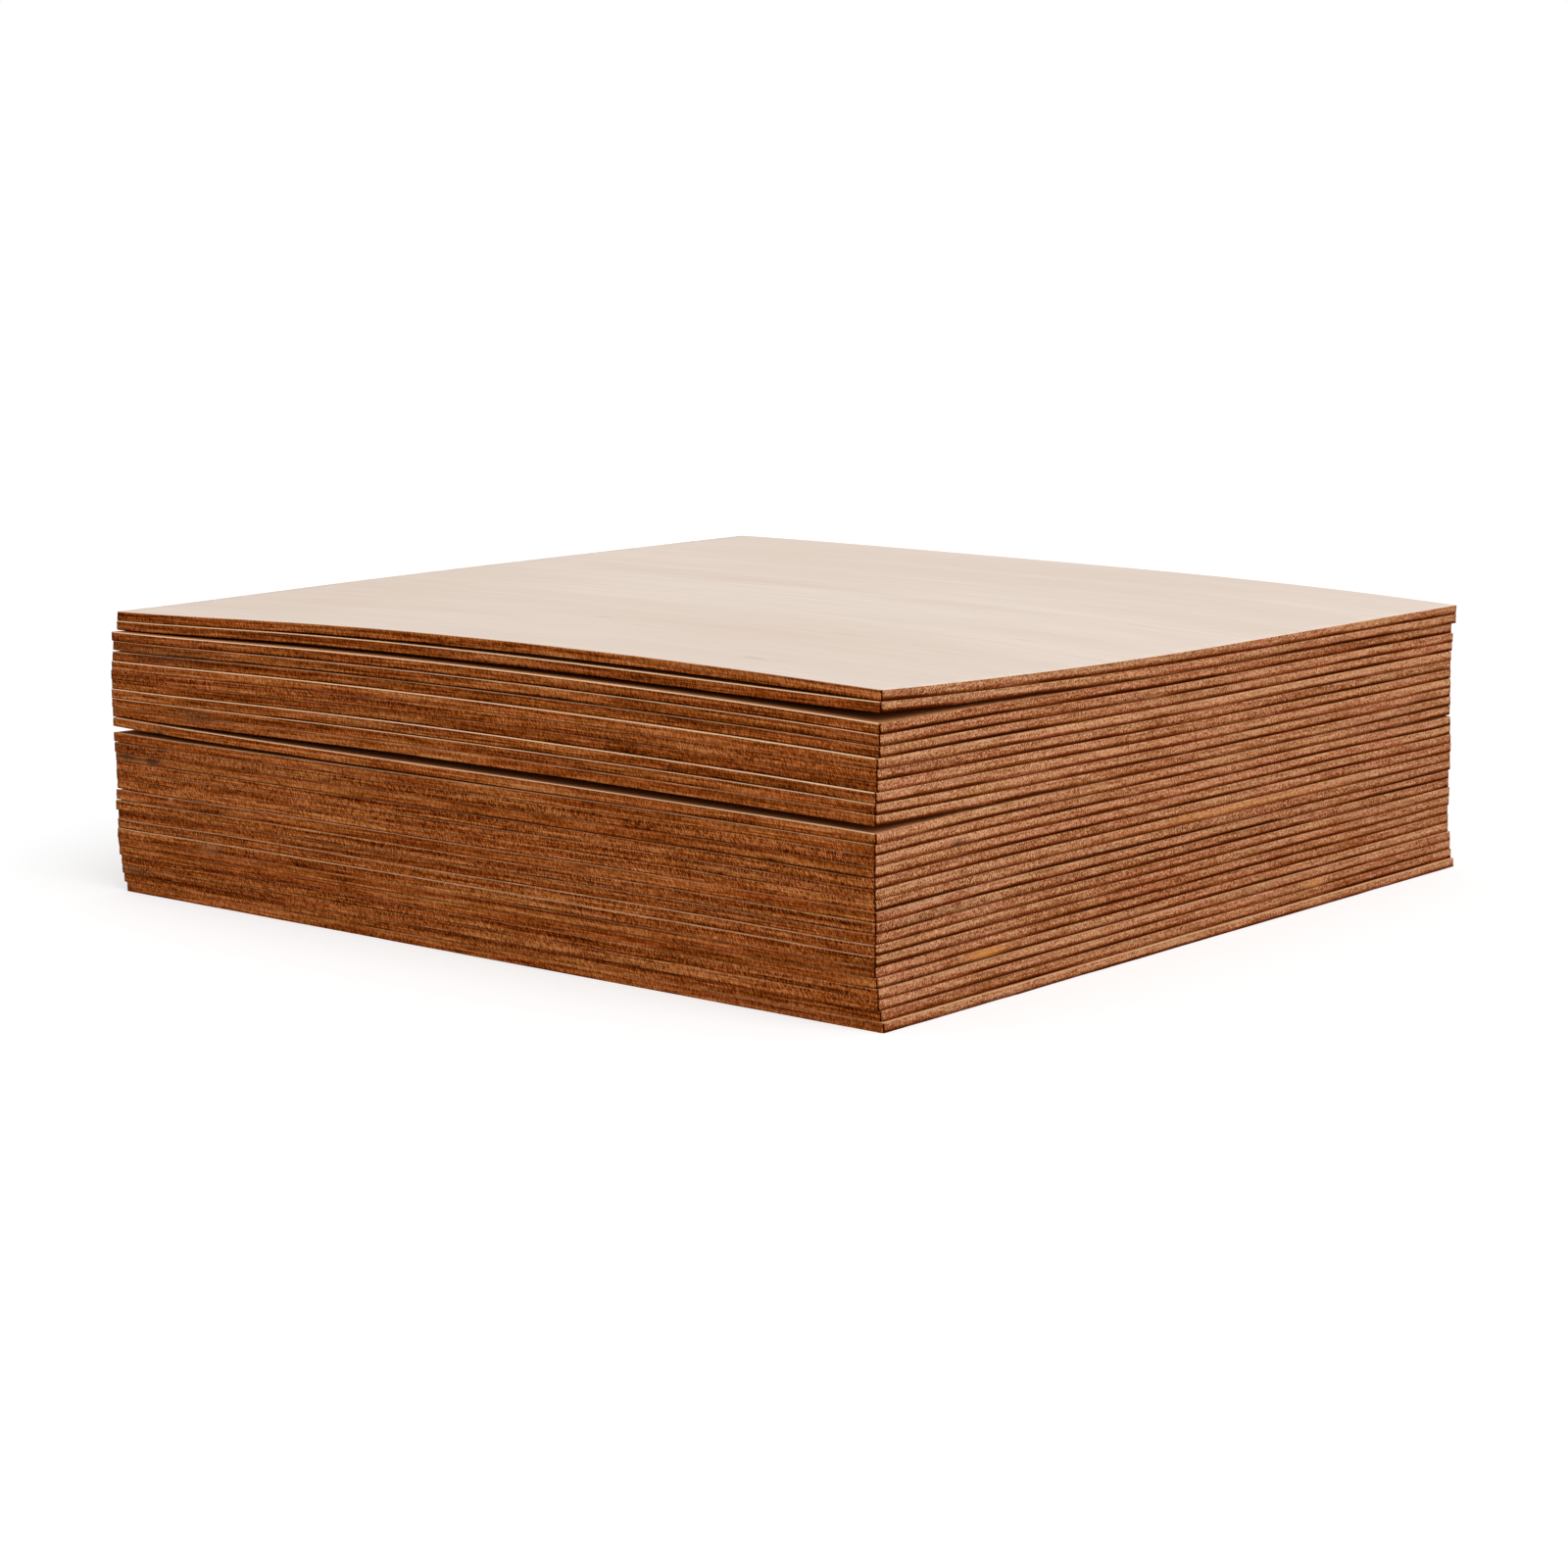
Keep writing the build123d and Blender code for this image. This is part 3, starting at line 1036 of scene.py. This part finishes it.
def store_finish(mesh, number, inset, marks, dice):
    """Heights, distances, lips, ticks, feet, tones and marks; a chip is darkened with the stain colour as
    well.
    """
    rims = by_side(number, PALE_RIMS, PLAIN_RIMS)
    ring_rims = [rims[::EDGE_COUNT // count] for count in ring_counts]
    tone_changes = np.repeat(TONE_SPREAD * dice.normal(size=len(SIDE_NAMES)), PER_SIDE)
    marks["stain"] = marks["stain"] + CHIP_DARKENING_share * marks["chip"]
    values = {
        "through": through,
        "from_edge": np.clip(inset, 0, None),
        "brown_margin": np.where((through == 1) & (number == 1), 0, 1),
        "rim": np.concatenate([*ring_rims, [0, 0]]),
        "ticked": on_whole_sheet(by_side(number, TICKED, PLAIN_TICKED)),
        "foot": on_whole_sheet(by_side(number, FEET, PLAIN_FEET)),
        "from_corner": on_whole_sheet(corner_distance),
        "tone": on_whole_sheet(by_side(number, TONES, PLAIN_TONES) + tone_changes),
    }
    for kind in MARK_COLOURS:
        values[kind] = np.clip(on_whole_sheet(marks[kind]), 0, 1)
    for name, numbers in values.items():
        store(mesh, name, numbers)


print("attributes are stored at", len(through), "points of each sheet")

# %% [markdown]
# ## Making every sheet
# A sheet is one closed mesh that takes the place of its solid. Its faces are smooth, and edges sharper
# than a limit stay sharp, so that the arrises catch no false light. All sheets are separate pieces, as
# they are on the real stack, and they all ride on the same body.

# %% Make the sheets
CHIP_DEPTH = 0.0005
SHARP_ANGLE = math.radians(32)


def make_sheet(node):
    """One closed sheet over the solid of that name, with its attributes and three materials."""
    number = int(node[-2:])
    dice = np.random.default_rng(number)
    flat_points = sheet_points(sheets[node], np.zeros(len(through)))
    marks = edge_marks(number, flat_points[on_edge][:EDGE_COUNT])
    edge_inset = edge_insets(dice) + CHIP_DEPTH * marks["chip"]
    inset = np.concatenate([face_insets, edge_inset.ravel(), under_insets, [SIDE / 2, SIDE / 2]])
    points = sheet_points(sheets[node], inset)
    top_row = slice(on_edge.start, on_edge.start + EDGE_COUNT)
    points[top_row, 2] += fuzz(node, points[top_row], dice)
    mesh = bpy.data.meshes.new("plywood_" + node)
    mesh.from_pydata(points, [], ring_triangles)
    store_places(mesh, points, number)
    store_finish(mesh, number, inset, marks, dice)
    for material in MATERIALS:
        mesh.materials.append(material)
    mesh.polygons.foreach_set("material_index", material_numbers.astype(np.int32))
    mesh.polygons.foreach_set("use_smooth", np.ones(len(ring_triangles), dtype=bool))
    mesh.set_sharp_from_angle(angle=SHARP_ANGLE)
    mesh.update()
    piece = bpy.data.objects.new("plywood_" + node, mesh)
    bpy.context.scene.collection.objects.link(piece)
    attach(piece, "root")
    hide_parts(node)
    return piece


pieces = [make_sheet(node) for node in sheet_names]
print(len(pieces), "sheets,", sum(len(piece.data.polygons) for piece in pieces), "triangles in all")

# %% [markdown]
# ## Floor
# The stack stands on a plain pale floor. A white floor would throw more light up at the edges, so it is a
# matt grey that keeps the soft shadow, and a glow that lights nothing else lifts it to white for the
# camera.

# %% Floor
FLOOR_HALF = 6.0
FLOOR_COLOUR = (0.56, 0.56, 0.56, 1)
FLOOR_ROUGHNESS = 0.9
FLOOR_GLOW = 0.50


def seen_directly(tree):
    """One for rays that come straight from the camera, a reflection or through glass, and else zero."""
    rays = put(tree, "LightPath").outputs
    seen = calc(tree, "MAXIMUM", rays["Is Camera Ray"], rays["Is Glossy Ray"])
    return calc(tree, "MAXIMUM", seen, rays["Is Transmission Ray"])


def floor_material():
    """Matt pale floor with a glow for the rays that see it directly."""
    material, tree, shader = new_material("pale_floor")
    shader.inputs["Base Color"].default_value = FLOOR_COLOUR
    shader.inputs["Roughness"].default_value = FLOOR_ROUGHNESS
    shader.inputs["Specular IOR Level"].default_value = 0.0
    shader.inputs["Emission Color"].default_value = (1, 1, 1, 1)
    glow = calc(tree, "MULTIPLY", seen_directly(tree), FLOOR_GLOW)
    tree.links.new(glow, shader.inputs["Emission Strength"])
    return material


floor_mesh = bpy.data.meshes.new("floor")
ends = FLOOR_HALF * np.array([(-1, -1, 0), (1, -1, 0), (1, 1, 0), (-1, 1, 0)])
floor_mesh.from_pydata(ends, [], [(0, 1, 2, 3)])
floor_mesh.materials.append(floor_material())
floor = bpy.data.objects.new("floor", floor_mesh)
bpy.context.scene.collection.objects.link(floor)
print("floor", 2 * FLOOR_HALF, "m wide")

# %% [markdown]
# ## Light
# A white studio is an even sky and one broad soft lamp from the right. The sky alone would light all sides
# alike, and the lamp makes the right face lighter than the front. Together they give a level face about
# the light at which a colour looks as it is written. The camera sees the sky as plain white.

# %% Sky
SKY_LIGHT = 0.64
world = bpy.data.worlds.new("white_studio")
bpy.context.scene.world = world
world.use_nodes = True
sky = world.node_tree
background = sky.nodes["Background"]
background.inputs["Color"].default_value = (1, 1, 1, 1)
sky.links.new(ease(sky, seen_directly(sky), 0.0, 1.0, SKY_LIGHT, 1.0), background.inputs["Strength"])
bpy.context.scene.view_settings.view_transform = "Standard"
print("sky", SKY_LIGHT)

# %% Lamp
LAMP_LIGHT = 0.62 * math.pi
LAMP_FROM = (0.72, -0.24, 0.65)
LAMP_SPREAD = math.radians(70)
lamp_data = bpy.data.lights.new("broad_lamp", "SUN")
lamp_data.energy = LAMP_LIGHT
lamp_data.angle = LAMP_SPREAD
lamp = bpy.data.objects.new("broad_lamp", lamp_data)
bpy.context.scene.collection.objects.link(lamp)
lamp.rotation_euler = (
    math.acos(LAMP_FROM[2] / math.hypot(*LAMP_FROM)),
    0,
    math.atan2(LAMP_FROM[1], LAMP_FROM[0]) + math.pi / 2,
)
print("lamp", round(LAMP_LIGHT, 2))

# %% [markdown]
# ## Camera
# The camera stands low in front of the near corner, a little over a metre away, and looks slightly down.
# It could be set by eye, but its place and lens were worked out from the stack's corners in a photograph
# of it, so that the level edges run together in the same way.

# %% Camera
LENS = 81.82
SENSOR_WIDTH = 36.0
CAMERA_PLACE = (0.715966, -0.877237, 0.220196)
CAMERA_TILT = math.radians(80.511)
CAMERA_TURN = math.radians(39.459)
camera_data = bpy.data.cameras.new("camera")
camera_data.lens = LENS
camera_data.sensor_width = SENSOR_WIDTH
camera = bpy.data.objects.new("camera", camera_data)
camera.location = CAMERA_PLACE
camera.rotation_euler = (CAMERA_TILT, 0, CAMERA_TURN)
bpy.context.scene.collection.objects.link(camera)
bpy.context.scene.camera = camera
print("camera at", tuple(round(value, 3) for value in CAMERA_PLACE))
